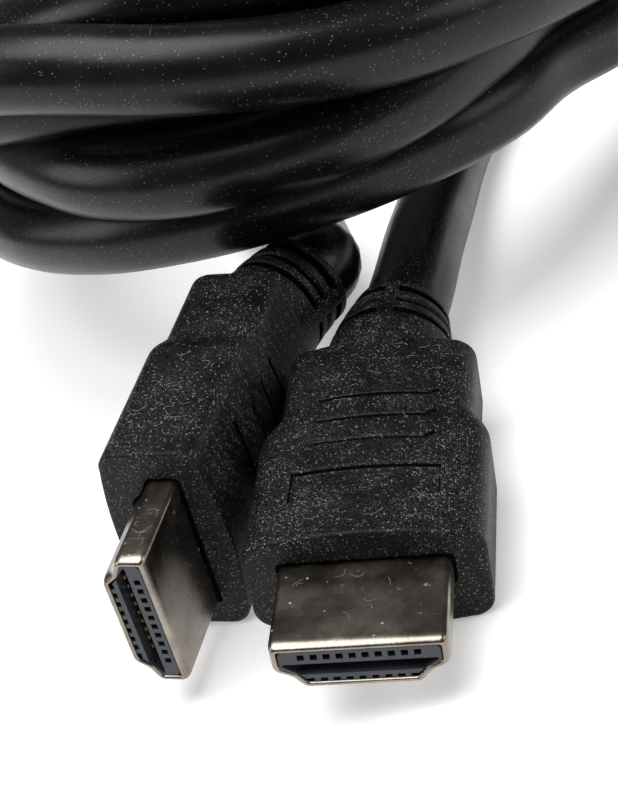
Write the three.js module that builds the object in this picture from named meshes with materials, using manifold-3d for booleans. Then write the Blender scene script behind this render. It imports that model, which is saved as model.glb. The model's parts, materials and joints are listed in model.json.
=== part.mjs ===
// A round video cable with a plug on each end. The cable lies in a round coil whose near side leans on its
// own two leads, and both plugs lie in front of it on the floor, z = 0. Plug b lies on its wide side, rolled
// a little on to its left edge, and plug a stands on its side edge. Millimetres, +Z up.
//
// A plug's own frame: x across, y from the plug's tip back towards the cable, z up through the wide side of
// its D-shaped shell. Its origin is the middle of the shell's front opening.
import * as THREE from 'three';
import { mergeVertices } from 'three/addons/utils/BufferGeometryUtils.js';
import Module from 'manifold-3d';

const wasm = await Module();
wasm.setup();

const MERGE_DISTANCE = 1e-4;
const GAP = 0.3; // between pieces that touch in the real cable
const FINE_GAP = 0.1; // the same, inside the plug

// Cable and coil
const CABLE_DIAMETER = 8.2;
const CABLE_SIDES = 10;
const LEAD_STEPS = 14;
const COIL_RADIUS = 42.5; // at the middle of the turns
const COIL_COLUMNS = 2; // turns side by side
const COIL_LAYERS = 3.5; // turns on top of each other
const COIL_EDGE_CUT = 2.5; // bevel along the ring's edges, where the outermost turns are round
const COIL_SEGMENTS = 40;
const COIL_CENTRE = [-1, 71.2];
const COIL_LEAN_BACK = 9.9; // degrees: the near side lies on the leads, the far side on the floor
const COIL_LEAN_RIGHT = 2.4;
const COIL_OVERHANG = 0.3; // how far the upper turns lie forward, for each millimetre of height

// Plug shell, a sheet-metal tube with a D-shaped section
const SHELL_HEIGHT = 4.45;
const SHELL_WALL = 0.3;
const SHELL_REACH = 9.4; // how far it stands out of the overmould
const SHELL_SEAT = 1.9; // how deep it sits in the overmould
const SHELL_BOTTOM_INSET = 2.35; // each side, from the full width to the narrow face
const SHELL_LEDGE_INSET = 1.45; // each side, to the ledge above the narrow face
const SHELL_SIDE_DEPTH = 2.6; // height of the straight sides, from the wide side down
const SHELL_LEDGE_DEPTH = 3.3;
const SHELL_CORNER = 0.3;
const SHELL_LEAD_IN = 0.28; // how much narrower the tip is, each side
const SHELL_LEAD_IN_LENGTH = 1.1;

// Insulator in the shell: one row of square holes on each side of a slot
const INSULATOR_RECESS = 0.15;
const INSULATOR_LENGTH = 11.0;
const CONTACT_PITCH = 1.0;
const TOP_CONTACTS = 10;
const BOTTOM_CONTACTS = 9;
const HOLE_SIDE = 0.56;
const HOLE_DEPTH = 2.2;
const TOP_ROW_Z = 0.95;
const BOTTOM_ROW_Z = -1.5;
const SLOT_TOP_Z = 0.3;
const SLOT_BOTTOM_Z = -0.82;
const SLOT_TOP_END = 1.5; // from the outermost upper contact's middle to the slot's end
const SLOT_BOTTOM_END = 0.8; // the same along the lower contacts
const SLOT_SHOULDER = 0.22; // height of the slot's slanted ends below its straight ones
const SLOT_END_WALL = 0.95; // from the slot's end to the outside of the shell
const SLOT_DEPTH = 8.5;
const CONTACT_WIDTH = 0.34;
const CONTACT_THICKNESS = 0.16;
const CONTACT_LENGTH = 6.2;
const CONTACT_START = 1.1; // behind the insulator's face
const CONTACT_RISE = 0.26; // height of the sprung hump above its wall
const CONTACT_HUMP_SHARE = 0.62; // of the contact's length, from its front
const CONTACT_STEPS = 8;

// Overmould, one soft moulding with its strain relief
const GRIP_SIDE_WALL = 3.05; // from the shell's side to the grip's side
const GRIP_HEIGHT = 10.4;
const GRIP_CROWN = 0.7; // how much the wide faces arch
const GRIP_CORNER = 1.9;
const GRIP_LENGTH = 13.8; // from the front face to the shoulder
const SHOULDER_LENGTH = 4.4;
const NECK_INSET = 1.45; // how much narrower the neck is, each side
const NECK_CORNER = 2.2;
const NECK_LENGTH = 8.8;
const EDGE_ROUND = 0.35; // along the front face
const REAR_ROUND = 0.9; // along the neck's end
const SHELL_POCKET_CLEARANCE = 0.3;
const CORNER_STEPS = 5;
const ARCH_STEPS = 8;
const SHOULDER_STEPS = 5;
const EDGE_TURNS = [0, Math.PI / 6, Math.PI / 3, Math.PI / 2];

// Marks on the upper wide face: a shallow bare panel and three fine grip lines with a turned-up end
const PANEL_WIDTH = 12.2;
const PANEL_LENGTH = 3.7;
const PANEL_DEPTH = 0.3;
const PANEL_START = 4.9; // behind the front face
const GRIP_LINES = 3;
const GRIP_LINE_START = 12.0;
const GRIP_LINE_PITCH = 3.05;
const GRIP_LINE_LENGTH = 9.4;
const GRIP_LINE_WIDTH = 0.26;
const GRIP_LINE_DEPTH = 0.2;
const GRIP_LINE_HOOK = 1.2; // length of the turned-up end
const GRIP_LINE_HOOK_TURN = 36; // degrees

// Strain relief: an oval dome with slots on both sides of a spine, which the cable bends a little sideways
const RELIEF_LENGTH = 9.9;
const RELIEF_BASE_WIDTH = 12.3;
const RELIEF_BASE_HEIGHT = 9.7;
const RELIEF_TIP_DIAMETER = 9.0;
const RELIEF_TAPER = 1.7; // 1 is a straight cone, more a rounder dome
const RELIEF_SIDES = 32;
const RELIEF_RINGS = 6;
const RELIEF_SLOTS = 3;
const RELIEF_SLOT_START = 4.2;
const RELIEF_SLOT_PITCH = 1.9;
const RELIEF_SLOT_WIDTH = 0.9;
const RELIEF_SLOT_DEPTH = 0.75;
const RELIEF_SPINE = 1.5;

// How the plugs lie: the tip's place on the floor, degrees, and how far the cable has bent the strain
// relief's tip, across and up in the plug's own frame
const PLUG_B = { tip: [5.8, -26.8], yaw: 0, pitch: 1.2, roll: 14, sway: [0.9, 0] };
const PLUG_A = { tip: [-12.3, -19.9], yaw: -9.6, pitch: 2.0, roll: 100.6, sway: [0, 1.6] };
const CUT_MARGIN = 1; // how far cutters stand out past what they cut

const material = (color, roughness, metalness) =>
  new THREE.MeshStandardMaterial({ color, roughness, metalness });
const softBlack = material(0x17171a, 0.72, 0);
const jacketBlack = material(0x121214, 0.48, 0);
const nickel = material(0xa39d94, 0.3, 1);
const slateBlue = material(0x3a424e, 0.55, 0);
const gold = material(0xc79a4a, 0.3, 1);

const slotTopWidth = (TOP_CONTACTS - 1) * CONTACT_PITCH + 2 * SLOT_TOP_END;
const slotBottomWidth = (BOTTOM_CONTACTS - 1) * CONTACT_PITCH + 2 * SLOT_BOTTOM_END;
const shellWidth = slotTopWidth + 2 * SLOT_END_WALL; // 13.9, with ten contacts in the upper row
const gripWidth = shellWidth + 2 * GRIP_SIDE_WALL;
const neckWidth = gripWidth - 2 * NECK_INSET;
const neckEnd = SHELL_REACH + GRIP_LENGTH + SHOULDER_LENGTH + NECK_LENGTH;
const reliefEnd = neckEnd + RELIEF_LENGTH;

const radians = THREE.MathUtils.degToRad;

// Solids to and from the boolean library
function toSolid(geometry) {
  const bare = geometry.clone();
  for (const name of Object.keys(bare.attributes)) {
    if (name !== 'position') bare.deleteAttribute(name);
  }
  const merged = mergeVertices(bare, MERGE_DISTANCE);
  return new wasm.Manifold(new wasm.Mesh({
    numProp: 3,
    vertProperties: new Float32Array(merged.attributes.position.array),
    triVerts: new Uint32Array(merged.index.array),
  }));
}

function toGeometry(solid) {
  const { vertProperties, triVerts } = solid.getMesh();
  const geometry = new THREE.BufferGeometry();
  geometry.setAttribute('position', new THREE.BufferAttribute(vertProperties, 3));
  geometry.setIndex(new THREE.BufferAttribute(triVerts, 1));
  geometry.computeVertexNormals();
  return geometry;
}

// A closed solid through like outlines, each a list of [x, z] at its own y
function loftAlongY(sections) {
  const count = sections[0].outline.length;
  const positions = [];
  const index = [];
  for (const { y, outline } of sections) {
    for (const [x, z] of outline) positions.push(x, y, z);
  }
  for (let s = 0; s < sections.length - 1; s += 1) {
    for (let i = 0; i < count; i += 1) {
      const here = s * count + i;
      const next = s * count + ((i + 1) % count);
      index.push(here, here + count, next, next, here + count, next + count);
    }
  }
  const contour = sections[0].outline.map(([x, z]) => new THREE.Vector2(x, z));
  const last = (sections.length - 1) * count;
  for (const [a, b, c] of THREE.ShapeUtils.triangulateShape(contour, [])) {
    index.push(a, b, c, last + a, last + c, last + b);
  }
  const geometry = new THREE.BufferGeometry();
  geometry.setAttribute('position', new THREE.Float32BufferAttribute(positions, 3));
  geometry.setIndex(index);
  return geometry;
}

const prismAlongY = (outline, from, to) => loftAlongY([{ y: from, outline }, { y: to, outline }]);

// Height of an arched face above its straight edge, at x
const archHeight = (x, halfWidth, crown) => crown * (1 - (x / halfWidth) ** 2);

// Rounded rectangle with arched wide faces, counter-clockwise seen from the plug's tip
function grippedOutline(width, height, crown, corner) {
  const cornerX = width / 2 - corner;
  const edgeZ = height / 2 - crown;
  const points = [];
  for (const [signX, signZ] of [[1, -1], [1, 1], [-1, 1], [-1, -1]]) {
    const start = Math.atan2(signZ, signX) - Math.PI / 4;
    for (let i = 0; i <= CORNER_STEPS; i += 1) {
      const angle = start + (i / CORNER_STEPS) * (Math.PI / 2);
      const x = signX * cornerX + corner * Math.cos(angle);
      points.push([x, signZ * (edgeZ - corner) + corner * Math.sin(angle)]);
    }
    if (signX === signZ) {
      for (let i = 1; i < ARCH_STEPS; i += 1) {
        const x = signX * cornerX * (1 - (2 * i) / ARCH_STEPS);
        points.push([x, signZ * (edgeZ + archHeight(x, cornerX, crown))]);
      }
    }
  }
  return points;
}

function ovalOutline(width, height) {
  return Array.from({ length: RELIEF_SIDES }, (_, i) => {
    const angle = (i / RELIEF_SIDES) * 2 * Math.PI;
    return [(width / 2) * Math.cos(angle), (height / 2) * Math.sin(angle)];
  });
}

// D-shaped outline of the shell, moved in by inset, with its corners cut. The slanted faces come in less than
// the level ones do, so that the wall is as thick there.
function shellOutline(inset) {
  const top = SHELL_HEIGHT / 2 - inset;
  const side = shellWidth / 2 - inset;
  const slantInset = inset * Math.tan(Math.PI / 8);
  const ledgeZ = SHELL_HEIGHT / 2 - SHELL_LEDGE_DEPTH + slantInset;
  const sideZ = SHELL_HEIGHT / 2 - SHELL_SIDE_DEPTH + slantInset;
  const half = [
    [shellWidth / 2 - SHELL_BOTTOM_INSET - 2 * slantInset, -top],
    [shellWidth / 2 - SHELL_LEDGE_INSET - inset, ledgeZ],
    [side - SHELL_CORNER, sideZ - SHELL_CORNER / 2],
    [side, sideZ + SHELL_CORNER / 2],
    [side, top - SHELL_CORNER],
    [side - SHELL_CORNER, top],
  ];
  return [...half, ...half.map(([x, z]) => [-x, z]).reverse()];
}

function shellGeometry() {
  const back = SHELL_REACH + SHELL_SEAT - GAP;
  const tube = (inset, margin) => [
    ...(margin ? [{ y: -margin, outline: shellOutline(inset + SHELL_LEAD_IN) }] : []),
    { y: 0, outline: shellOutline(inset + SHELL_LEAD_IN) },
    { y: SHELL_LEAD_IN_LENGTH, outline: shellOutline(inset) },
    { y: back + margin, outline: shellOutline(inset) },
  ];
  const bore = toSolid(loftAlongY(tube(SHELL_WALL, CUT_MARGIN)));
  return toGeometry(toSolid(loftAlongY(tube(0, 0))).subtract(bore));
}

const rowX = (count, i) => (i - (count - 1) / 2) * CONTACT_PITCH;

function insulatorGeometry() {
  const front = INSULATOR_RECESS;
  const inset = SHELL_WALL + FINE_GAP;
  let body = toSolid(loftAlongY([
    { y: front, outline: shellOutline(inset + SHELL_LEAD_IN) },
    { y: SHELL_LEAD_IN_LENGTH, outline: shellOutline(inset) },
    { y: front + INSULATOR_LENGTH, outline: shellOutline(inset) },
  ]));
  const shoulderZ = SLOT_TOP_Z - SLOT_SHOULDER;
  const half = [
    [slotBottomWidth / 2, SLOT_BOTTOM_Z],
    [slotTopWidth / 2, shoulderZ],
    [slotTopWidth / 2, SLOT_TOP_Z],
  ];
  const slot = [...half, ...half.map(([x, z]) => [-x, z]).reverse()];
  body = body.subtract(toSolid(prismAlongY(slot, front - CUT_MARGIN, front + SLOT_DEPTH)));
  for (const [count, z] of [[TOP_CONTACTS, TOP_ROW_Z], [BOTTOM_CONTACTS, BOTTOM_ROW_Z]]) {
    for (let i = 0; i < count; i += 1) {
      const hole = new THREE.BoxGeometry(HOLE_SIDE, HOLE_DEPTH + CUT_MARGIN, HOLE_SIDE);
      hole.translate(rowX(count, i), front + (HOLE_DEPTH - CUT_MARGIN) / 2, z);
      body = body.subtract(toSolid(hole));
    }
  }
  return toGeometry(body);
}

// A sprung contact strip on the slot's wall, with a hump that a mating contact presses on
function contactGeometry(wallZ, away) {
  const lower = [];
  const upper = [];
  for (let i = 0; i <= CONTACT_STEPS; i += 1) {
    const along = i / CONTACT_STEPS;
    const y = INSULATOR_RECESS + CONTACT_START + along * CONTACT_LENGTH;
    const hump = CONTACT_RISE * Math.sin(Math.PI * Math.min(1, along / CONTACT_HUMP_SHARE)) ** 2;
    const z = FINE_GAP + hump;
    lower.push([y, z]);
    upper.push([y, z + CONTACT_THICKNESS]);
  }
  const side = [...lower, ...upper.reverse()].map(([y, z]) => [y, wallZ + away * z]);
  const shape = new THREE.Shape(side.map(([y, z]) => new THREE.Vector2(y, z)));
  const geometry = new THREE.ExtrudeGeometry(shape, { depth: CONTACT_WIDTH, bevelEnabled: false });
  geometry.translate(0, 0, -CONTACT_WIDTH / 2);
  // the drawing's x and y are the plug's y and z, and its depth is the plug's x
  return geometry.applyMatrix4(new THREE.Matrix4().set(0, 0, 1, 0, 1, 0, 0, 0, 0, 1, 0, 0, 0, 0, 0, 1));
}

// Height of the grip's arched upper face at x
function gripArchZ(x) {
  return GRIP_HEIGHT / 2 - GRIP_CROWN + archHeight(x, gripWidth / 2 - GRIP_CORNER, GRIP_CROWN);
}

// A cutter whose floor follows that face, depth deep
function archCutter(halfWidth, fromY, toY, depth) {
  const floor = Array.from({ length: ARCH_STEPS + 1 }, (_, i) => {
    const x = halfWidth * ((2 * i) / ARCH_STEPS - 1);
    return [x, gripArchZ(x) - depth];
  });
  return toSolid(prismAlongY([...floor, [halfWidth, GRIP_HEIGHT], [-halfWidth, GRIP_HEIGHT]], fromY, toY));
}

function gripLineCutter(front, i) {
  const y = front + GRIP_LINE_START + i * GRIP_LINE_PITCH;
  const half = GRIP_LINE_LENGTH / 2;
  const line = archCutter(half, y, y + GRIP_LINE_WIDTH, GRIP_LINE_DEPTH);
  const hook = new THREE.BoxGeometry(GRIP_LINE_HOOK, GRIP_LINE_WIDTH, CUT_MARGIN);
  hook.translate(GRIP_LINE_HOOK / 2 - GRIP_LINE_WIDTH, 0, 0);
  hook.rotateZ(radians(GRIP_LINE_HOOK_TURN));
  hook.translate(half, y + GRIP_LINE_WIDTH / 2, gripArchZ(half) - GRIP_LINE_DEPTH + CUT_MARGIN / 2);
  return line.add(toSolid(hook));
}

// The dome of the strain relief at a distance along it
function reliefSection(along, grow = 0) {
  const taper = Math.max(0, along / RELIEF_LENGTH) ** RELIEF_TAPER;
  const width = THREE.MathUtils.lerp(RELIEF_BASE_WIDTH, RELIEF_TIP_DIAMETER, taper) + 2 * grow;
  const height = THREE.MathUtils.lerp(RELIEF_BASE_HEIGHT, RELIEF_TIP_DIAMETER, taper) + 2 * grow;
  return { y: neckEnd + along, outline: ovalOutline(width, height) };
}

// Bends everything behind the neck sideways, ever more towards the tip, with its sections square to the bend
function bendRelief(geometry, [swayX, swayZ]) {
  const position = geometry.getAttribute('position');
  for (let i = 0; i < position.count; i += 1) {
    const share = Math.max(0, (position.getY(i) - neckEnd) / RELIEF_LENGTH);
    const slope = (2 * share) / RELIEF_LENGTH;
    const x = position.getX(i);
    const z = position.getZ(i);
    position.setXYZ(
      i,
      x + swayX * share ** 2,
      position.getY(i) - slope * (swayX * x + swayZ * z),
      z + swayZ * share ** 2,
    );
  }
  return geometry;
}

function reliefSolid(sway) {
  const rings = Array.from({ length: RELIEF_RINGS + 1 }, (_, i) => (i / RELIEF_RINGS) * RELIEF_LENGTH);
  let relief = toSolid(loftAlongY([-2 * REAR_ROUND, ...rings].map((along) => reliefSection(along))));
  const spineX = RELIEF_SPINE / 2;
  const spineZ = GRIP_HEIGHT;
  const spine = [[spineX, -spineZ], [spineX, spineZ], [-spineX, spineZ], [-spineX, -spineZ]];
  for (let i = 0; i < RELIEF_SLOTS; i += 1) {
    const start = RELIEF_SLOT_START + i * RELIEF_SLOT_PITCH;
    const end = start + RELIEF_SLOT_WIDTH;
    const outside = [start, end].map((along) => reliefSection(along, CUT_MARGIN));
    const inside = [start - CUT_MARGIN, end + CUT_MARGIN]
      .map((along) => reliefSection(along, -RELIEF_SLOT_DEPTH));
    const slot = toSolid(loftAlongY(outside))
      .subtract(toSolid(loftAlongY(inside)))
      .subtract(toSolid(prismAlongY(spine, neckEnd + start - CUT_MARGIN, neckEnd + end + CUT_MARGIN)));
    relief = relief.subtract(slot);
  }
  return toSolid(bendRelief(toGeometry(relief), sway));
}

// The body's outline where the grip has narrowed to the neck by a share, and its edge is drawn in by shrink
function bodySection(y, share, shrink = 0) {
  const ease = THREE.MathUtils.smoothstep(share, 0, 1);
  return {
    y,
    outline: grippedOutline(
      THREE.MathUtils.lerp(gripWidth, neckWidth, ease) - 2 * shrink,
      GRIP_HEIGHT - 2 * shrink,
      GRIP_CROWN,
      THREE.MathUtils.lerp(GRIP_CORNER, NECK_CORNER, ease) - shrink / 2,
    ),
  };
}

function overmouldGeometry(sway) {
  const front = SHELL_REACH;
  const shoulder = front + GRIP_LENGTH;
  const frontEdge = EDGE_TURNS.map((turn) => bodySection(
    front + EDGE_ROUND * (1 - Math.cos(turn)), 0, EDGE_ROUND * (1 - Math.sin(turn)),
  ));
  const rearEdge = EDGE_TURNS.toReversed().map((turn) => bodySection(
    neckEnd - REAR_ROUND * (1 - Math.cos(turn)), 1, REAR_ROUND * (1 - Math.sin(turn)),
  ));
  const narrowing = Array.from({ length: SHOULDER_STEPS + 1 }, (_, i) => {
    const share = i / SHOULDER_STEPS;
    return bodySection(shoulder + share * SHOULDER_LENGTH, share);
  });
  let body = toSolid(loftAlongY([...frontEdge, ...narrowing, ...rearEdge]));
  body = body.add(reliefSolid(sway));
  const pocket = prismAlongY(shellOutline(-SHELL_POCKET_CLEARANCE), front - CUT_MARGIN, front + SHELL_SEAT);
  body = body.subtract(toSolid(pocket));
  const panelY = front + PANEL_START;
  body = body.subtract(archCutter(PANEL_WIDTH / 2, panelY, panelY + PANEL_LENGTH, PANEL_DEPTH));
  for (let i = 0; i < GRIP_LINES; i += 1) body = body.subtract(gripLineCutter(front, i));
  return toGeometry(body);
}

const makePart = (name, geometry, look) => {
  const mesh = new THREE.Mesh(geometry, look);
  mesh.name = name;
  return mesh;
};

function makePlug(letter, sway) {
  const plug = new THREE.Group();
  plug.add(makePart(`plug_${letter}_overmould`, overmouldGeometry(sway), softBlack));
  plug.add(makePart(`plug_${letter}_shell`, shellGeometry(), nickel));
  plug.add(makePart(`plug_${letter}_insulator`, insulatorGeometry(), slateBlue));
  let number = 1;
  for (const [count, wallZ, away] of [[TOP_CONTACTS, SLOT_TOP_Z, -1], [BOTTOM_CONTACTS, SLOT_BOTTOM_Z, 1]]) {
    for (let i = 0; i < count; i += 1) {
      const strip = makePart(
        `plug_${letter}_contact_${String(number).padStart(2, '0')}`, contactGeometry(wallZ, away), gold,
      );
      strip.position.x = rowX(count, i);
      plug.add(strip);
      number += 1;
    }
  }
  return plug;
}

// Lets a piece down until it touches the floor
function letDown(piece) {
  piece.position.z = 0;
  piece.updateMatrixWorld(true);
  piece.position.z = -new THREE.Box3().setFromObject(piece, true).min.z;
  piece.updateMatrixWorld(true);
}

// Turns a plug by its roll, then its pitch, then its yaw, and lays it on the floor
function layDown(plug, { tip, yaw, pitch, roll }) {
  plug.rotation.set(radians(pitch), radians(roll), radians(yaw), 'ZXY');
  plug.position.set(tip[0], tip[1], 0);
  letDown(plug);
  return plug;
}

const plugA = layDown(makePlug('a', PLUG_A.sway), PLUG_A);
const plugB = layDown(makePlug('b', PLUG_B.sway), PLUG_B);

// Cord: two leads and one ring for the whole coil
function circle(diameter, sides) {
  return new THREE.Shape(Array.from({ length: sides }, (_, i) => {
    const angle = ((i + 0.5) / sides) * 2 * Math.PI;
    return new THREE.Vector2((diameter / 2) * Math.cos(angle), (diameter / 2) * Math.sin(angle));
  }));
}

// A lead leaves its plug square to the bent strain relief's end
function leadGeometry(plug, [swayX, swayZ], route) {
  const slope = 2 / RELIEF_LENGTH;
  const way = new THREE.Vector3(slope * swayX, 1, slope * swayZ).normalize();
  const tip = new THREE.Vector3(swayX, reliefEnd, swayZ);
  const start = [GAP, GAP + CABLE_DIAMETER / 3].map((along) => tip.clone().addScaledVector(way, along));
  const points = [
    ...start.map((point) => plug.localToWorld(point)),
    ...route.map((point) => new THREE.Vector3(...point)),
  ];
  const extrudePath = new THREE.CatmullRomCurve3(points, false, 'centripetal');
  const section = circle(CABLE_DIAMETER, CABLE_SIDES);
  return new THREE.ExtrudeGeometry(section, { steps: LEAD_STEPS, extrudePath, bevelEnabled: false });
}

const leadARoute = [
  [-0.8, 34.1, 9.8], [-1.9, 44.1, 6.6], [-5.5, 53.1, 4.6], [-11.9, 60.6, 4.2], [-19.3, 67.2, 4.2],
  [-25, 74.8, 4.2], [-27.9, 83.8, 4.2],
];
const leadBRoute = [
  [9.6, 33.1, 5.6], [12.4, 42.4, 4.5], [16.4, 50.8, 4.2], [21.6, 58.4, 4.2], [25.6, 66, 4.2],
  [27.2, 74, 4.2], [26.6, 81, 4.2],
];

// A ring of revolution about the Z axis, then pushed forward in step with its height
function coilGeometry() {
  const halfWidth = (COIL_COLUMNS * CABLE_DIAMETER) / 2;
  const height = COIL_LAYERS * CABLE_DIAMETER;
  const cut = COIL_EDGE_CUT;
  const profile = [
    [-halfWidth, cut], [-halfWidth + cut, 0],
    [halfWidth - cut, 0], [halfWidth, cut],
    [halfWidth, height - cut], [halfWidth - cut, height],
    [-halfWidth + cut, height], [-halfWidth, height - cut],
  ].map(([r, z]) => new THREE.Vector2(COIL_RADIUS + r, z));
  profile.push(profile[0].clone());
  const ring = new THREE.LatheGeometry(profile, COIL_SEGMENTS);
  ring.rotateX(Math.PI / 2);
  const overhang = new THREE.Matrix4().set(1, 0, 0, 0, 0, 1, -COIL_OVERHANG, 0, 0, 0, 1, 0, 0, 0, 0, 1);
  return ring.applyMatrix4(overhang);
}

const coil = makePart('cord_coil', coilGeometry(), jacketBlack);
coil.rotation.set(radians(-COIL_LEAN_BACK), radians(COIL_LEAN_RIGHT), 0);
coil.position.set(COIL_CENTRE[0], COIL_CENTRE[1], 0);
letDown(coil);

const plugs = new THREE.Group();
plugs.add(plugA, plugB);

const cable = new THREE.Group();
cable.add(
  plugs,
  makePart('cord_lead_a', leadGeometry(plugA, PLUG_A.sway, leadARoute), jacketBlack),
  makePart('cord_lead_b', leadGeometry(plugB, PLUG_B.sway, leadBRoute), jacketBlack),
  coil,
);

// The origin is on the floor, under the middle of the two plugs
const middle = new THREE.Box3().setFromObject(plugs, true).getCenter(new THREE.Vector3());
cable.position.set(-middle.x, -middle.y, 0);

export default cable;
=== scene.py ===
import json
import math
import random
import bpy
from mathutils import Matrix, Vector

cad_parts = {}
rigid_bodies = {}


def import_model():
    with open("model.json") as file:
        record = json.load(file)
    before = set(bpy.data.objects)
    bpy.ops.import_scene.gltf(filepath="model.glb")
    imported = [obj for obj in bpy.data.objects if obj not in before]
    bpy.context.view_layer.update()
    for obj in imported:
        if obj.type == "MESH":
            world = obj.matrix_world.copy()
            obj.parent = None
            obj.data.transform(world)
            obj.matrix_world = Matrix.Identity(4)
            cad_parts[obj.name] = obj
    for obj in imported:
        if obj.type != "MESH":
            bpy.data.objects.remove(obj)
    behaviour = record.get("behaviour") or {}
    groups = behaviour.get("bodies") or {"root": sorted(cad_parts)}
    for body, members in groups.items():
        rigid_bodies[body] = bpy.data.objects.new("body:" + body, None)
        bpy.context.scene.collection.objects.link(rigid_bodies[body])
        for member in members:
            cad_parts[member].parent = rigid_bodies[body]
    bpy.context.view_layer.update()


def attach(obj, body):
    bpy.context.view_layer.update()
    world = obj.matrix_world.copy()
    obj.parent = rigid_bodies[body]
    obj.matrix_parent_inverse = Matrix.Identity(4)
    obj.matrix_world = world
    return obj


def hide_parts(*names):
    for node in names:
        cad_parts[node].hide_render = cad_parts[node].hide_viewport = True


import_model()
MM = 0.001

# Camera at the photo's place
PHOTO_FOCAL_PX = 1950
PHOTO_HEIGHT_PX = 800
SENSOR = 36
NEAREST_SEEN = 0.01
CAMERA_PLACE = (52.50, -135.08, 98.57)
CAMERA_AHEAD = (-0.30227, 0.80572, -0.50935)
CAMERA_RIGHT = (0.91538, 0.0963, -0.3909)
camera_data = bpy.data.cameras.new("camera")
camera_data.sensor_width = SENSOR
camera_data.lens = PHOTO_FOCAL_PX * SENSOR / PHOTO_HEIGHT_PX
camera_data.clip_start = NEAREST_SEEN
camera = bpy.data.objects.new("camera", camera_data)
bpy.context.scene.collection.objects.link(camera)
ahead = Vector(CAMERA_AHEAD).normalized()
right = Vector(CAMERA_RIGHT).normalized()
upward = right.cross(ahead)
place = Vector(CAMERA_PLACE) * MM
camera.matrix_world = Matrix((
    (right.x, upward.x, -ahead.x, place.x),
    (right.y, upward.y, -ahead.y, place.y),
    (right.z, upward.z, -ahead.z, place.z),
    (0, 0, 0, 1),
))
bpy.context.scene.camera = camera


FRAME_PLACES = 5


def plug_frame(tip, yaw, pitch, roll):
    """A plug's own frame: x across, y from the tip to the cable, z up through the wide side.

    It is rounded, so that it comes out the same on every machine.
    """
    turn = Matrix.Rotation(math.radians(yaw), 4, "Z")
    turn = turn @ Matrix.Rotation(math.radians(pitch), 4, "X")
    turn = turn @ Matrix.Rotation(math.radians(roll), 4, "Y")
    placed = Matrix.Translation(tip) @ turn
    return Matrix([[round(value, FRAME_PLACES) for value in row] for row in placed])


# Tips in millimetres and turns in degrees: plug a stands on its narrow edge, plug b lies flat
PLUG_A = plug_frame(tip=(-12.15349, -20.2789, 9.97767), yaw=-9.6, pitch=2, roll=100.6)
PLUG_B = plug_frame(tip=(5.94651, -27.1789, 6.17212), yaw=0, pitch=1.2, roll=14)
# How far each strain relief bends aside over its length
SWAY_A = (0, 2.8)
SWAY_B = (0.9, 0)

# The plug's sizes, with FRONT the overmould's front face behind the tip
FRONT = 9.4
GRIP_WIDTH = 19.7
GRIP_HEIGHT = 10.4
GRIP_CROWN = 0.7
GRIP_CORNER = 1.9
GRIP_LENGTH = 13.8
SHOULDER_LENGTH = 4.4
NECK_WIDTH = 16.9
NECK_CORNER = 2.2
NECK_LENGTH = 8.8
EDGE_ROUND = 0.35
REAR_ROUND = 0.9
PANEL_WIDTH = 12.2
PANEL_LENGTH = 3.7
PANEL_DEPTH = 0.4
PANEL_START = 4.9
PANEL_EDGE = 0.07
GRIP_LINE_START = 12.13
GRIP_LINE_PITCH = 3.05
GRIP_LINE_HALF = 4.7
GRIP_LINE_HOOK = 0.9
GRIP_LINE_HOOK_SLOPE = 0.8
GRIP_LINES = 3
GRIP_LINE_DEPTH = 0.35
GRIP_LINE_SPREAD = 0.12
# Widths of the painted shade down each grip line and inside the panel's edge
GRIP_LINE_SHADE = 0.11
PANEL_SHADE = 0.1
RELIEF_LENGTH = 9.9
RELIEF_BASE = (12.3, 10.2)
RELIEF_TIP = 9.0
RELIEF_TAPER = 1.7
RELIEF_SLOTS = 3
RELIEF_SLOT_START = 4.2
RELIEF_SLOT_PITCH = 1.9
RELIEF_SLOT_WIDTH = 0.8
RELIEF_SLOT_DEPTH = 0.95
RELIEF_SLOT_EDGE = 0.1
RELIEF_SPINE = 1.5
SPINE_EDGE_IN = 0.1
SPINE_EDGE_OUT = 0.15
RELIEF_END_ROUND = 0.35
SHOULDER = FRONT + GRIP_LENGTH
NECK_END = SHOULDER + SHOULDER_LENGTH + NECK_LENGTH
RELIEF_END = NECK_END + RELIEF_LENGTH
CABLE = 8.2


def smooth(low, high, value):
    share = min(1, max(0, (value - low) / (high - low)))
    return share * share * (3 - 2 * share)


# Materials. Textures lie in metres, so their scales are cells a metre
def new_material(name):
    material = bpy.data.materials.new(name)
    material.use_nodes = True
    nodes = material.node_tree.nodes
    return material, nodes, material.node_tree.links, nodes["Principled BSDF"]


def texture(nodes, links, kind, scale, **settings):
    node = nodes.new(kind)
    where = nodes.new("ShaderNodeTexCoord")
    links.new(where.outputs["Object"], node.inputs["Vector"])
    node.inputs["Scale"].default_value = scale
    for key, value in settings.items():
        node.inputs[key].default_value = value
    return node


def ramp(nodes, links, source, low, high, dark, light):
    node = nodes.new("ShaderNodeMapRange")
    node.inputs["From Min"].default_value = low
    node.inputs["From Max"].default_value = high
    node.inputs["To Min"].default_value = dark
    node.inputs["To Max"].default_value = light
    links.new(source, node.inputs["Value"])
    return node.outputs["Result"]


def mixed(nodes, links, share, first, second):
    node = nodes.new("ShaderNodeMix")
    node.data_type = "RGBA"
    links.new(share, node.inputs[0])
    for socket, value in ((node.inputs[6], first), (node.inputs[7], second)):
        if isinstance(value, tuple):
            socket.default_value = (*value, 1)
        else:
            links.new(value, socket)
    return node.outputs[2]


def product(nodes, links, first, second):
    node = nodes.new("ShaderNodeMath")
    node.operation = "MULTIPLY"
    links.new(first, node.inputs[0])
    if isinstance(second, (int, float)):
        node.inputs[1].default_value = second
    else:
        links.new(second, node.inputs[1])
    return node.outputs[0]


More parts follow.
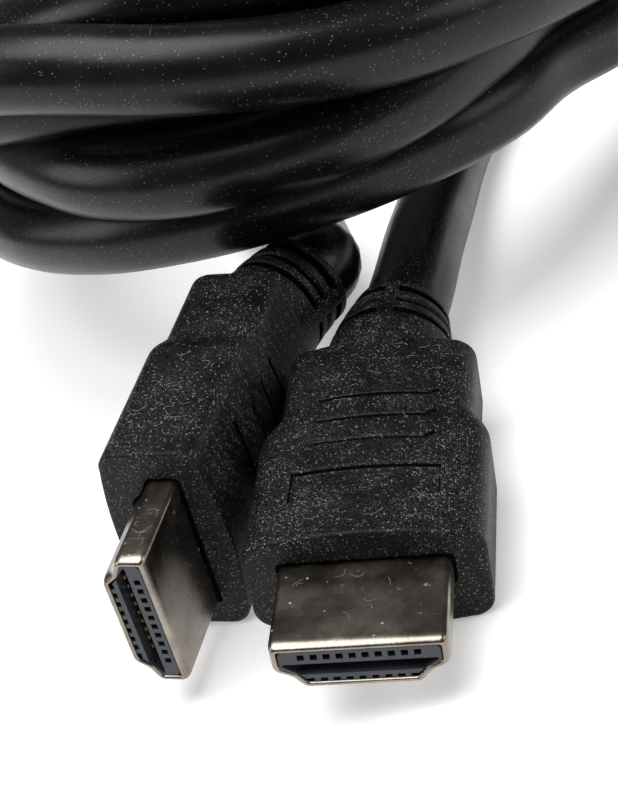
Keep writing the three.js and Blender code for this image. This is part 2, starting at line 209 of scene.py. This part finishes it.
def specks(nodes, links, scale, radius, share, patch_scale):
    """White where a dust speck lies: a few of the cells of a random pattern, more of them in some patches."""
    cells = texture(nodes, links, "ShaderNodeTexVoronoi", scale)
    near = ramp(nodes, links, cells.outputs["Distance"], radius, radius * 0.55, 0, 1)
    split = nodes.new("ShaderNodeSeparateColor")
    links.new(cells.outputs["Color"], split.inputs[0])
    patches = texture(nodes, links, "ShaderNodeTexNoise", patch_scale, Detail=3)
    # Bare patches have 0.3 of the share, dense ones 1.8 of it
    chance = ramp(nodes, links, patches.outputs["Fac"], 0.35, 0.7, 1 - share * 0.3, 1 - share * 1.8)
    kept = nodes.new("ShaderNodeMath")
    kept.operation = "GREATER_THAN"
    links.new(split.outputs[0], kept.inputs[0])
    links.new(chance, kept.inputs[1])
    strength = ramp(nodes, links, split.outputs[1], 0, 1, 0.25, 1)
    return product(nodes, links, product(nodes, links, near, kept.outputs[0]), strength)


def either(nodes, links, *shares):
    total = shares[0]
    for share in shares[1:]:
        node = nodes.new("ShaderNodeMath")
        node.operation = "MAXIMUM"
        links.new(total, node.inputs[0])
        links.new(share, node.inputs[1])
        total = node.outputs[0]
    return total


def bumped(nodes, links, shader, source, strength, distance):
    node = nodes.new("ShaderNodeBump")
    node.inputs["Strength"].default_value = strength
    node.inputs["Distance"].default_value = distance
    links.new(source, node.inputs["Height"])
    links.new(node.outputs["Normal"], shader.inputs["Normal"])


def make_overmould_material():
    material, nodes, links, shader = new_material("moulding")
    cloud = texture(nodes, links, "ShaderNodeTexNoise", 260, Detail=8, Roughness=0.7)
    frost = ramp(nodes, links, cloud.outputs["Fac"], 0.35, 0.72, 0, 1)
    powder = texture(nodes, links, "ShaderNodeTexNoise", 7000, Detail=2)
    grains = product(nodes, links, frost, ramp(nodes, links, powder.outputs["Fac"], 0.5, 0.64, 0, 1))
    base = mixed(nodes, links, grains, (0.001, 0.001, 0.001), (0.075, 0.075, 0.077))
    dust = either(
        nodes, links,
        specks(nodes, links, scale=5200, radius=0.42, share=0.26, patch_scale=130),
        specks(nodes, links, scale=2600, radius=0.22, share=0.13, patch_scale=90),
        specks(nodes, links, scale=1100, radius=0.13, share=0.08, patch_scale=60),
    )
    links.new(mixed(nodes, links, dust, base, (0.26, 0.26, 0.255)), shader.inputs["Base Color"])
    links.new(ramp(nodes, links, cloud.outputs["Fac"], 0.3, 0.7, 0.42, 0.58), shader.inputs["Roughness"])
    shader.inputs["Specular IOR Level"].default_value = 0.17
    pebbles = texture(nodes, links, "ShaderNodeTexNoise", 4200, Detail=3)
    bumped(nodes, links, shader, pebbles.outputs["Fac"], strength=1, distance=0.00009)
    return material


def make_jacket_material():
    material, nodes, links, shader = new_material("cable jacket")
    cloud = texture(nodes, links, "ShaderNodeTexNoise", 90, Detail=6, Roughness=0.6)
    haze = ramp(nodes, links, cloud.outputs["Fac"], 0.5, 0.8, 0, 0.6)
    base = mixed(nodes, links, haze, (0.0022, 0.0022, 0.0025), (0.012, 0.0115, 0.009))
    dust = either(
        nodes, links,
        specks(nodes, links, scale=4600, radius=0.34, share=0.14, patch_scale=60),
        specks(nodes, links, scale=2100, radius=0.17, share=0.07, patch_scale=50),
        specks(nodes, links, scale=900, radius=0.1, share=0.04, patch_scale=45),
    )
    links.new(mixed(nodes, links, dust, base, (0.2, 0.2, 0.19)), shader.inputs["Base Color"])
    links.new(ramp(nodes, links, cloud.outputs["Fac"], 0.3, 0.75, 0.25, 0.38), shader.inputs["Roughness"])
    shader.inputs["Specular IOR Level"].default_value = 0.28
    ripple = texture(nodes, links, "ShaderNodeTexNoise", 420, Detail=4)
    bumped(nodes, links, shader, ripple.outputs["Fac"], strength=0.25, distance=0.00008)
    return material


def make_shell_material():
    material, nodes, links, shader = new_material("nickel")
    cloud = texture(nodes, links, "ShaderNodeTexNoise", 220, Detail=7, Roughness=0.65)
    stain = ramp(nodes, links, cloud.outputs["Fac"], 0.35, 0.7, 0, 1)
    base = mixed(nodes, links, stain, (0.17, 0.145, 0.12), (0.36, 0.32, 0.275))
    dust = either(
        nodes, links,
        specks(nodes, links, scale=1800, radius=0.24, share=0.10, patch_scale=120),
        specks(nodes, links, scale=700, radius=0.16, share=0.08, patch_scale=80),
    )
    links.new(mixed(nodes, links, dust, base, (0.4, 0.39, 0.36)), shader.inputs["Base Color"])
    links.new(ramp(nodes, links, cloud.outputs["Fac"], 0.3, 0.75, 0.2, 0.34), shader.inputs["Roughness"])
    metal = nodes.new("ShaderNodeMath")
    metal.operation = "SUBTRACT"
    metal.inputs[0].default_value = 1
    links.new(dust, metal.inputs[1])
    links.new(metal.outputs[0], shader.inputs["Metallic"])
    stretch = nodes.new("ShaderNodeMapping")
    stretch.inputs["Scale"].default_value = (1, 0.06, 1)
    where = nodes.new("ShaderNodeTexCoord")
    links.new(where.outputs["Object"], stretch.inputs["Vector"])
    scratches = nodes.new("ShaderNodeTexNoise")
    scratches.inputs["Scale"].default_value = 3000
    links.new(stretch.outputs["Vector"], scratches.inputs["Vector"])
    bumped(nodes, links, shader, scratches.outputs["Fac"], strength=0.22, distance=0.00004)
    return material


def make_plain_material(name, dark, light, roughness, metallic=0):
    material, nodes, links, shader = new_material(name)
    shader.inputs["Metallic"].default_value = metallic
    cloud = texture(nodes, links, "ShaderNodeTexNoise", 700, Detail=5)
    share = ramp(nodes, links, cloud.outputs["Fac"], 0.3, 0.7, 0, 1)
    links.new(mixed(nodes, links, share, dark, light), shader.inputs["Base Color"])
    rough = ramp(nodes, links, cloud.outputs["Fac"], 0.3, 0.7, roughness - 0.06, roughness + 0.08)
    links.new(rough, shader.inputs["Roughness"])
    bumped(nodes, links, shader, cloud.outputs["Fac"], strength=0.15, distance=0.00003)
    return material


overmould_material = make_overmould_material()
jacket_material = make_jacket_material()
shell_material = make_shell_material()
# Near-black and without shine: painted shade for the grip lines, the panel's edge, the relief's slots and the
# gap round each shell
painted_shade_material = make_plain_material(
    "painted shade", dark=(0.002, 0.002, 0.002), light=(0.004, 0.004, 0.004), roughness=0.8,
)
painted_shade_material.node_tree.nodes["Principled BSDF"].inputs["Specular IOR Level"].default_value = 0
insulator_material = make_plain_material(
    "insulator", dark=(0.022, 0.026, 0.036), light=(0.036, 0.042, 0.056), roughness=0.5,
)
contact_material = make_plain_material(
    "gold contact", dark=(0.62, 0.42, 0.16), light=(0.9, 0.66, 0.3), roughness=0.3, metallic=1,
)

for node in bpy.data.objects:
    if node.type == "MESH" and node.name.startswith("plug_"):
        if "shell" in node.name:
            look = shell_material
        elif "insulator" in node.name:
            look = insulator_material
        elif "contact" in node.name:
            look = contact_material
        else:
            look = overmould_material
        for slot in node.material_slots:
            slot.material = look

# The cord: plug a's lead, the turns of the coil, plug b's lead, in millimetres
LEAD_A = [
    (-2.0, 30.4, 10.4), (-4.2, 37.8, 8.6), (-7.8, 46.2, 6.2), (-12.2, 54.4, 4.6), (-17.4, 62.4, 4.2),
    (-22.6, 70.6, 4.2), (-27.4, 80.0, 4.2), (-28.8, 87.4, 4.2),
]
LEAD_B = [
    (7.8, 33.4, 5.9), (8.2, 42.4, 4.7), (9.0, 51.4, 4.25), (10.6, 60.0, 4.2), (13.4, 68.2, 4.2),
    (16.8, 75.8, 4.2), (19.3, 83.4, 4.2),
]
COIL_CENTRE = (-0.85, 70.8)
COIL_STEP = 15
# Rows along the winding, clockwise from above: degrees from the near side, radius, height
TURNS = [
    (135, 35.2, 4.2), (165, 38.0, 4.2), (225, 37.6, 4.8), (270, 36.0, 8.6), (313, 35.0, 14.9),
    (326, 38.7, 16.4), (343, 42.4, 18.3), (360, 44.9, 19.8), (377, 46.0, 20.4), (405, 45.0, 19.4),
    (421, 43.9, 18.2), (450, 43.0, 14.4), (495, 39.6, 12.4), (540, 38.2, 12.4), (585, 37.2, 13.2),
    (630, 36.0, 16.8), (673, 36.0, 22.4), (686, 40.6, 24.1), (703, 47.2, 25.4), (720, 49.5, 26.6),
    (731, 49.4, 27.4), (748, 45.6, 28.6), (768, 41.2, 28.0), (810, 38.8, 22.0), (855, 38.6, 20.6),
    (900, 38.6, 20.6), (945, 37.6, 21.4), (990, 36.2, 25.0), (1033, 36.0, 30.8), (1046, 38.8, 31.6),
    (1063, 40.8, 30.4), (1080, 42.6, 30.4), (1095, 42.6, 32.2), (1110, 45.6, 35.8), (1127, 47.4, 33.2),
    (1170, 46.9, 24.8), (1215, 47.6, 14.6), (1260, 46.4, 4.3), (1305, 45.4, 9.2), (1350, 43.8, 19.0),
    (1393, 44.4, 26.4), (1406, 47.6, 29.4), (1423, 50.9, 33.0), (1444, 52.7, 39.0), (1459.5, 52.2, 42.6),
    (1485, 50.5, 42.0), (1530, 44.5, 33.2), (1575, 46.8, 23.0), (1620, 46.5, 12.6), (1665, 45.4, 17.5),
    (1710, 44.2, 27.4), (1753, 44.2, 34.8), (1783, 44.7, 39.0), (1804, 44.4, 42.2), (1845, 39.2, 38.0),
    (1890, 32.8, 28.2), (1935, 28.8, 16.2), (1980, 28.4, 6.8), (2025, 28.2, 4.3),
]


def along_turns(at):
    """Radius and height at an angle along the winding, smoothly through the rows."""
    last = len(TURNS) - 1
    here = max(i for i in range(last) if TURNS[i][0] <= at)
    span = TURNS[here + 1][0] - TURNS[here][0]
    t = (at - TURNS[here][0]) / span

    def slope(i, column):
        low = TURNS[max(0, i - 1)]
        high = TURNS[min(last, i + 1)]
        return (high[column] - low[column]) / (high[0] - low[0])

    values = []
    for column in (1, 2):
        values.append(
            (2 * t ** 3 - 3 * t ** 2 + 1) * TURNS[here][column]
            + (t ** 3 - 2 * t ** 2 + t) * span * slope(here, column)
            + (3 * t ** 2 - 2 * t ** 3) * TURNS[here + 1][column]
            + (t ** 3 - t ** 2) * span * slope(here + 1, column)
        )
    return values


def relief_exit(plug, sway, distance):
    """A point on the cord's line, at a distance past the strain relief's end."""
    way = Vector((2 * sway[0] / RELIEF_LENGTH, 1, 2 * sway[1] / RELIEF_LENGTH)).normalized()
    return plug @ (Vector((sway[0], RELIEF_END, sway[1])) + way * distance)


coil_points = []
at = TURNS[0][0]
while at < TURNS[-1][0]:
    radius, height = along_turns(at)
    turn = math.radians(at)
    coil_points.append(Vector((
        COIL_CENTRE[0] - radius * math.sin(turn), COIL_CENTRE[1] - radius * math.cos(turn), height,
    )))
    at += COIL_STEP
INSIDE_RELIEF = -1.5
JUST_OUTSIDE = 1.4
route = [relief_exit(PLUG_A, SWAY_A, INSIDE_RELIEF), relief_exit(PLUG_A, SWAY_A, JUST_OUTSIDE)]
route += [Vector(point) for point in LEAD_A]
route += coil_points
route += [Vector(point) for point in reversed(LEAD_B)]
route += [relief_exit(PLUG_B, SWAY_B, JUST_OUTSIDE), relief_exit(PLUG_B, SWAY_B, INSIDE_RELIEF)]

cord_curve = bpy.data.curves.new("cord", "CURVE")
cord_curve.dimensions = "3D"
cord_curve.resolution_u = 6
cord_curve.bevel_depth = CABLE / 2 * MM
cord_curve.bevel_resolution = 7
cord_curve.use_fill_caps = True
spline = cord_curve.splines.new("BEZIER")
spline.bezier_points.add(len(route) - 1)
for knot, point in zip(spline.bezier_points, route):
    knot.co = point * MM
    knot.handle_left_type = "AUTO"
    knot.handle_right_type = "AUTO"
cord_curve.materials.append(jacket_material)
cord = bpy.data.objects.new("cord", cord_curve)
bpy.context.scene.collection.objects.link(cord)
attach(cord, "root")
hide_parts("cord_coil", "cord_lead_a", "cord_lead_b")
bpy.context.view_layer.update()


# Overmoulds: fine lofts with the panel, the grip lines and the slots pressed in, and painted shade down in
# the grip lines, along the panel's edge and in the slots
def loft(verts, faces, rings):
    """Faces between rings of points, closed at both ends."""
    count = len(rings[0])
    base = len(verts)
    for ring in rings:
        verts.extend(ring)
    for s in range(len(rings) - 1):
        for i in range(count):
            j = (i + 1) % count
            low = base + s * count
            faces.append((low + i, low + count + i, low + count + j, low + j))
    faces.append(tuple(base + i for i in range(count)))
    end = base + (len(rings) - 1) * count
    faces.append(tuple(end + i for i in reversed(range(count))))


def body_outline(width, height, corner):
    """A rounded rectangle with arched wide faces, as (x, z) points right round."""
    corner_x = width / 2 - corner
    edge_z = height / 2 - GRIP_CROWN
    top_steps = 96
    bottom_steps = 24
    side_steps = 6
    arc_steps = 9
    points = []

    def arch(x):
        return edge_z + GRIP_CROWN * (1 - (x / corner_x) ** 2)

    for i in range(top_steps + 1):
        x = corner_x * (1 - 2 * i / top_steps)
        points.append((x, arch(x)))
    for i in range(1, arc_steps + 1):
        turn = math.pi / 2 + i / arc_steps * math.pi / 2
        points.append((-corner_x + corner * math.cos(turn), edge_z - corner + corner * math.sin(turn)))
    for i in range(1, side_steps):
        points.append((-width / 2, (edge_z - corner) * (1 - 2 * i / side_steps)))
    for i in range(arc_steps):
        turn = math.pi + i / arc_steps * math.pi / 2
        points.append((-corner_x + corner * math.cos(turn), -edge_z + corner + corner * math.sin(turn)))
    for i in range(bottom_steps + 1):
        x = corner_x * (2 * i / bottom_steps - 1)
        points.append((x, -arch(x)))
    for i in range(1, arc_steps + 1):
        turn = -math.pi / 2 + i / arc_steps * math.pi / 2
        points.append((corner_x + corner * math.cos(turn), -edge_z + corner + corner * math.sin(turn)))
    for i in range(1, side_steps):
        points.append((width / 2, (edge_z - corner) * (2 * i / side_steps - 1)))
    for i in range(arc_steps):
        turn = i / arc_steps * math.pi / 2
        points.append((corner_x + corner * math.cos(turn), edge_z - corner + corner * math.sin(turn)))
    return points


def line_middle(i, x):
    """Where grip line i runs at x, with its hooked end."""
    return FRONT + GRIP_LINE_START + i * GRIP_LINE_PITCH + max(0, x - GRIP_LINE_HALF) * GRIP_LINE_HOOK_SLOPE


def on_line(x):
    return -GRIP_LINE_HALF < x < GRIP_LINE_HALF + GRIP_LINE_HOOK


def pressed_in(x, y):
    """How deep the panel and the grip lines are at a point of the upper wide face."""
    start = FRONT + PANEL_START
    end = start + PANEL_LENGTH
    across = 1 - smooth(PANEL_WIDTH / 2 - PANEL_EDGE, PANEL_WIDTH / 2 + PANEL_EDGE, abs(x))
    along = smooth(start - PANEL_EDGE, start + PANEL_EDGE, y)
    along *= 1 - smooth(end - PANEL_EDGE, end + PANEL_EDGE, y)
    deep = PANEL_DEPTH * across * along
    if on_line(x):
        for i in range(GRIP_LINES):
            off_line = (y - line_middle(i, x)) / GRIP_LINE_SPREAD
            deep = max(deep, GRIP_LINE_DEPTH * math.exp(-(off_line ** 2)))
    return deep


def gets_painted_shade(x, y):
    """Whether a point of the upper wide face gets painted shade: down in a grip line, or along the panel's
    edge.
    """
    start = FRONT + PANEL_START
    end = start + PANEL_LENGTH
    if abs(x) < PANEL_WIDTH / 2 + PANEL_EDGE and start - PANEL_EDGE < y < end:
        if min(PANEL_WIDTH / 2 - abs(x), y - start) < PANEL_SHADE or end - y < 2 * PANEL_SHADE:
            return True
    return on_line(x) and any(abs(y - line_middle(i, x)) < GRIP_LINE_SHADE for i in range(GRIP_LINES))


BODY_STEP = 0.14
ROUND_STEPS = 5
# Points above this height and within this half width can be pressed in
UPPER_FACE = 2
UPPER_FACE_HALF = 7
# The painted shade's place among the overmould's materials
SHADE_INDEX = 1


def body_rings():
    """Rings of the grip, shoulder and neck, with rounded ends and the upper face's relief."""
    rounds = [i / ROUND_STEPS * math.pi / 2 for i in range(ROUND_STEPS + 1)]
    stations = [
        (FRONT + EDGE_ROUND * (1 - math.cos(turn)), EDGE_ROUND * (1 - math.sin(turn)))
        for turn in rounds
    ]
    y = FRONT + EDGE_ROUND + BODY_STEP
    while y < NECK_END - REAR_ROUND - BODY_STEP / 2:
        stations.append((y, 0))
        y += BODY_STEP
    stations += [
        (NECK_END - REAR_ROUND * (1 - math.cos(turn)), REAR_ROUND * (1 - math.sin(turn)))
        for turn in reversed(rounds)
    ]
    rings = []
    for y, shrink in stations:
        ease = smooth(SHOULDER, SHOULDER + SHOULDER_LENGTH, y)
        width = GRIP_WIDTH + (NECK_WIDTH - GRIP_WIDTH) * ease - 2 * shrink
        corner = GRIP_CORNER + (NECK_CORNER - GRIP_CORNER) * ease - shrink / 2
        ring = []
        for x, z in body_outline(width, GRIP_HEIGHT - 2 * shrink, corner):
            if z > UPPER_FACE and abs(x) < UPPER_FACE_HALF:
                z -= pressed_in(x, y)
            ring.append((x, y, z))
        rings.append(ring)
    return rings


RELIEF_SIDES = 144
RELIEF_STEPS = 96
RELIEF_STEPS_IN_NECK = 6
# Slot faces deeper than this share of the slot's depth get painted shade
SLOT_SHADE_FROM = 0.6


def slot_depth(along):
    """How deep the strain relief's slots are at a distance along it."""
    deepest = 0
    for i in range(RELIEF_SLOTS):
        start = RELIEF_SLOT_START + i * RELIEF_SLOT_PITCH
        end = start + RELIEF_SLOT_WIDTH
        share = smooth(start - RELIEF_SLOT_EDGE, start + RELIEF_SLOT_EDGE, along)
        share *= 1 - smooth(end - RELIEF_SLOT_EDGE, end + RELIEF_SLOT_EDGE, along)
        deepest = max(deepest, share * RELIEF_SLOT_DEPTH)
    return deepest


def relief_rings(sway):
    """Rings of the strain relief, and the numbers of its faces deep in a slot, which get painted shade."""
    rings = []
    slot_shade_faces = []
    for k in range(-RELIEF_STEPS_IN_NECK, RELIEF_STEPS + 1):
        along = k / RELIEF_STEPS * RELIEF_LENGTH
        taper = max(0, along / RELIEF_LENGTH) ** RELIEF_TAPER
        half_width = (RELIEF_BASE[0] + (RELIEF_TIP - RELIEF_BASE[0]) * taper) / 2
        half_height = (RELIEF_BASE[1] + (RELIEF_TIP - RELIEF_BASE[1]) * taper) / 2
        notch = slot_depth(along)
        end_round = RELIEF_END_ROUND * smooth(RELIEF_LENGTH - RELIEF_END_ROUND, RELIEF_LENGTH, along) ** 2
        share = max(0, along / RELIEF_LENGTH)
        slope = 2 * share / RELIEF_LENGTH
        ring = []
        for i in range(RELIEF_SIDES):
            turn = i / RELIEF_SIDES * 2 * math.pi
            across = abs(half_width * math.cos(turn))
            off_spine = smooth(RELIEF_SPINE / 2 - SPINE_EDGE_IN, RELIEF_SPINE / 2 + SPINE_EDGE_OUT, across)
            if notch * off_spine > SLOT_SHADE_FROM * RELIEF_SLOT_DEPTH and k < RELIEF_STEPS:
                slot_shade_faces.append((k + RELIEF_STEPS_IN_NECK) * RELIEF_SIDES + i)
            pull = notch * off_spine + end_round
            x = (half_width - pull) * math.cos(turn)
            z = (half_height - pull) * math.sin(turn)
            ring.append((
                x + sway[0] * share ** 2,
                NECK_END + along - slope * (sway[0] * x + sway[1] * z),
                z + sway[1] * share ** 2,
            ))
        rings.append(ring)
    return rings, slot_shade_faces


def make_overmould(letter, plug, sway):
    verts = []
    faces = []
    rings = body_rings()
    loft(verts, faces, rings)
    count = len(rings[0])
    # Faces given painted shade: down in the grip lines and along the panel's edge, then in the relief's slots
    shaded = [
        s * count + i
        for s in range(len(rings) - 1)
        for i in range(count)
        if rings[s][i][2] > UPPER_FACE and gets_painted_shade(rings[s][i][0], rings[s][i][1])
    ]
    rings, slot_shade_faces = relief_rings(sway)
    shaded += [len(faces) + i for i in slot_shade_faces]
    loft(verts, faces, rings)
    mesh = bpy.data.meshes.new(f"overmould_{letter}")
    mesh.from_pydata([plug @ Vector(v) * MM for v in verts], [], faces)
    mesh.update()
    mesh.materials.append(overmould_material)
    mesh.materials.append(painted_shade_material)
    for i in shaded:
        mesh.polygons[i].material_index = SHADE_INDEX
    obj = bpy.data.objects.new(f"overmould_{letter}", mesh)
    bpy.context.scene.collection.objects.link(obj)
    for face in mesh.polygons:
        face.use_smooth = len(face.vertices) == 4
    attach(obj, "root")
    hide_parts(f"plug_{letter}_overmould")


make_overmould("a", PLUG_A, SWAY_A)
make_overmould("b", PLUG_B, SWAY_B)


# Shells with fine rolled rims, and a flat dark band of painted shade on the overmould around each, for the
# gap there
SHELL_WIDTH_HALF = 6.95
SHELL_HEIGHT_HALF = 2.225
SHELL_RIGHT = [
    (4.6, -SHELL_HEIGHT_HALF), (5.5, -1.075),
    (SHELL_WIDTH_HALF, -0.375), (SHELL_WIDTH_HALF, SHELL_HEIGHT_HALF),
]
SHELL_OUTLINE = SHELL_RIGHT + [(-x, z) for x, z in reversed(SHELL_RIGHT)]
SHELL_BEND = 0.55
SHELL_BEND_STEPS = 5
BEND_LOST_INWARD = 0.5
# Along the shell's wall and round its rim: distance behind the tip, and how far in from the outside
SHELL_RIM = [
    (11.0, 0), (4.0, 0), (1.0, 0), (0.75, 0.01), (0.5, 0.05), (0.25, 0.13), (0.08, 0.23), (0, 0.34),
    (0, 0.48), (0.06, 0.56), (0.2, 0.62), (0.6, 0.64), (4.0, 0.5), (11.0, 0.5),
]
POCKET_CLEARANCE = 0.26
POCKET_AHEAD = 0.02
POCKET_INSIDE = 0.1


def d_outline(inset, bend):
    """The D-shaped outline moved in by inset, with its corners rounded."""
    corners = [Vector(point) for point in SHELL_OUTLINE]
    count = len(corners)
    moved = []
    for i in range(count):
        before = (corners[i] - corners[i - 1]).normalized()
        after = (corners[(i + 1) % count] - corners[i]).normalized()
        inward = Vector((-before.y, before.x)) + Vector((-after.y, after.x))
        moved.append(corners[i] + inward * (2 * inset / inward.length_squared))
    points = []
    for i in range(count):
        before = (moved[i - 1] - moved[i]).normalized()
        after = (moved[(i + 1) % count] - moved[i]).normalized()
        start = moved[i] + before * bend
        end = moved[i] + after * bend
        for k in range(SHELL_BEND_STEPS + 1):
            t = k / SHELL_BEND_STEPS
            points.append(start * (1 - t) ** 2 + moved[i] * 2 * t * (1 - t) + end * t ** 2)
    return points


def add_mesh(name, plug, rings, material, node):
    """An open band of faces through the rings, in place of a node where one is given."""
    verts = [point for ring in rings for point in ring]
    count = len(rings[0])
    faces = []
    for s in range(len(rings) - 1):
        for i in range(count):
            j = (i + 1) % count
            faces.append((s * count + i, s * count + j, (s + 1) * count + j, (s + 1) * count + i))
    mesh = bpy.data.meshes.new(name)
    mesh.from_pydata([plug @ Vector(v) * MM for v in verts], [], faces)
    mesh.update()
    mesh.materials.append(material)
    mesh.shade_smooth()
    obj = bpy.data.objects.new(name, mesh)
    bpy.context.scene.collection.objects.link(obj)
    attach(obj, "root")
    if node:
        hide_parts(node)


for letter, plug in (("a", PLUG_A), ("b", PLUG_B)):
    rings = [
        [(point.x, y, point.y) for point in d_outline(inset, SHELL_BEND - BEND_LOST_INWARD * inset)]
        for y, inset in SHELL_RIM
    ]
    add_mesh(f"shell_{letter}", plug, rings, shell_material, f"plug_{letter}_shell")
    # A flat near-black band just ahead of the overmould's front round each shell: painted shade for the gap
    # between shell and moulding
    outside, inside = (
        [(point.x, FRONT - POCKET_AHEAD, point.y) for point in d_outline(inset, SHELL_BEND)]
        for inset in (-POCKET_CLEARANCE, POCKET_INSIDE)
    )
    add_mesh(f"pocket_{letter}", plug, [outside, inside], painted_shade_material, None)

# Lint: short curved fibres lying on the upper faces
lint_material = make_plain_material(
    "lint", dark=(0.2, 0.2, 0.19), light=(0.42, 0.42, 0.4), roughness=0.8,
)
draw = random.Random(7)
LINT_THICKNESS = 0.025
LINT_POINTS = 8
LINT_FEWEST = 3
LINT_LIFT = 0.01
LINT_RISE = 0.6
LINT_STEP = 0.06
LINT_BEND = 0.5
LINT_WOBBLE = 0.25


def add_lint(name, plug, count, spread, height_at, longest):
    """Fibres of at most the longest length, at random within the spread in x and y."""
    curve = bpy.data.curves.new(name, "CURVE")
    curve.dimensions = "3D"
    curve.bevel_depth = LINT_THICKNESS / 2 * MM
    curve.bevel_resolution = 1
    (x_low, x_high), (y_low, y_high) = spread
    for _ in range(count):
        x = draw.uniform(x_low, x_high)
        y = draw.uniform(y_low, y_high)
        heading = draw.uniform(0, 2 * math.pi)
        bend = draw.uniform(-LINT_BEND, LINT_BEND)
        step = draw.uniform(LINT_STEP, longest / (LINT_POINTS - 1))
        points = []
        for _ in range(LINT_POINTS):
            if x_low < x < x_high and y_low < y < y_high:
                points.append((x, y, height_at(x) + LINT_THICKNESS * LINT_RISE))
            x += step * math.cos(heading)
            y += step * math.sin(heading)
            heading += bend + draw.uniform(-LINT_WOBBLE, LINT_WOBBLE)
        if len(points) < LINT_FEWEST:
            continue
        strand = curve.splines.new("POLY")
        strand.points.add(len(points) - 1)
        for knot, point in zip(strand.points, points):
            knot.co = (*(plug @ Vector(point) * MM), 1)
    curve.materials.append(lint_material)
    obj = bpy.data.objects.new(name, curve)
    bpy.context.scene.collection.objects.link(obj)
    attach(obj, "root")


def arched_top(x):
    return GRIP_HEIGHT / 2 - GRIP_CROWN + GRIP_CROWN * (1 - (x / (GRIP_WIDTH / 2 - GRIP_CORNER)) ** 2)


def shell_top(x):
    return SHELL_HEIGHT_HALF + LINT_LIFT


def grip_side(x):
    return GRIP_WIDTH / 2


def shell_side(x):
    return SHELL_WIDTH_HALF + LINT_LIFT


# Plug a's upper side is its own -x side
ON_EDGE = Matrix(((0, 0, -1, 0), (0, 1, 0, 0), (1, 0, 0, 0), (0, 0, 0, 1)))
EDGE_A = PLUG_A @ ON_EDGE
add_lint("lint_mould_b", PLUG_B, count=34, spread=((-7, 7), (10, 35)), height_at=arched_top, longest=1.7)
add_lint("lint_shell_b", PLUG_B, count=10, spread=((-6, 6), (1, 9)), height_at=shell_top, longest=1.6)
add_lint("lint_mould_a", EDGE_A, count=16, spread=((-3, 2.6), (10, 23)), height_at=grip_side, longest=2.6)
add_lint("lint_shell_a", EDGE_A, count=8, spread=((-0.1, 1.8), (1.2, 9)), height_at=shell_side, longest=2.4)


# Floor and light
FLOOR_GLOW = 0.35
FLOOR_SIZE = 3
WORLD_LIGHT = 0.1
floor_material, _, _, floor_shader = new_material("pale floor")
floor_shader.inputs["Base Color"].default_value = (0.86, 0.86, 0.86, 1)
floor_shader.inputs["Roughness"].default_value = 0.7
floor_shader.inputs["Emission Color"].default_value = (1, 1, 1, 1)
floor_shader.inputs["Emission Strength"].default_value = FLOOR_GLOW
bpy.ops.mesh.primitive_plane_add(size=FLOOR_SIZE)
floor = bpy.context.object
floor.name = "floor"
floor.data.materials.append(floor_material)


LIT_POINT = (0, 0.02, 0.01)


def area_light(name, spot, size, power):
    light = bpy.data.lights.new(name, "AREA")
    light.energy = power
    light.size = size
    obj = bpy.data.objects.new(name, light)
    bpy.context.scene.collection.objects.link(obj)
    obj.location = spot
    obj.rotation_euler = (Vector(LIT_POINT) - Vector(spot)).to_track_quat("-Z", "Y").to_euler()


area_light("key", spot=(-0.05, -0.05, 0.7), size=0.6, power=6.5)
area_light("left", spot=(-0.6, -0.1, 0.35), size=0.35, power=1.2)
area_light("right", spot=(0.6, 0.0, 0.3), size=0.35, power=0.9)
world = bpy.data.worlds.new("soft studio")
bpy.context.scene.world = world
world.use_nodes = True
world.node_tree.nodes["Background"].inputs[0].default_value = (1, 1, 1, 1)
world.node_tree.nodes["Background"].inputs[1].default_value = WORLD_LIGHT
bpy.context.scene.view_settings.view_transform = "Standard"

bpy.context.view_layer.update()
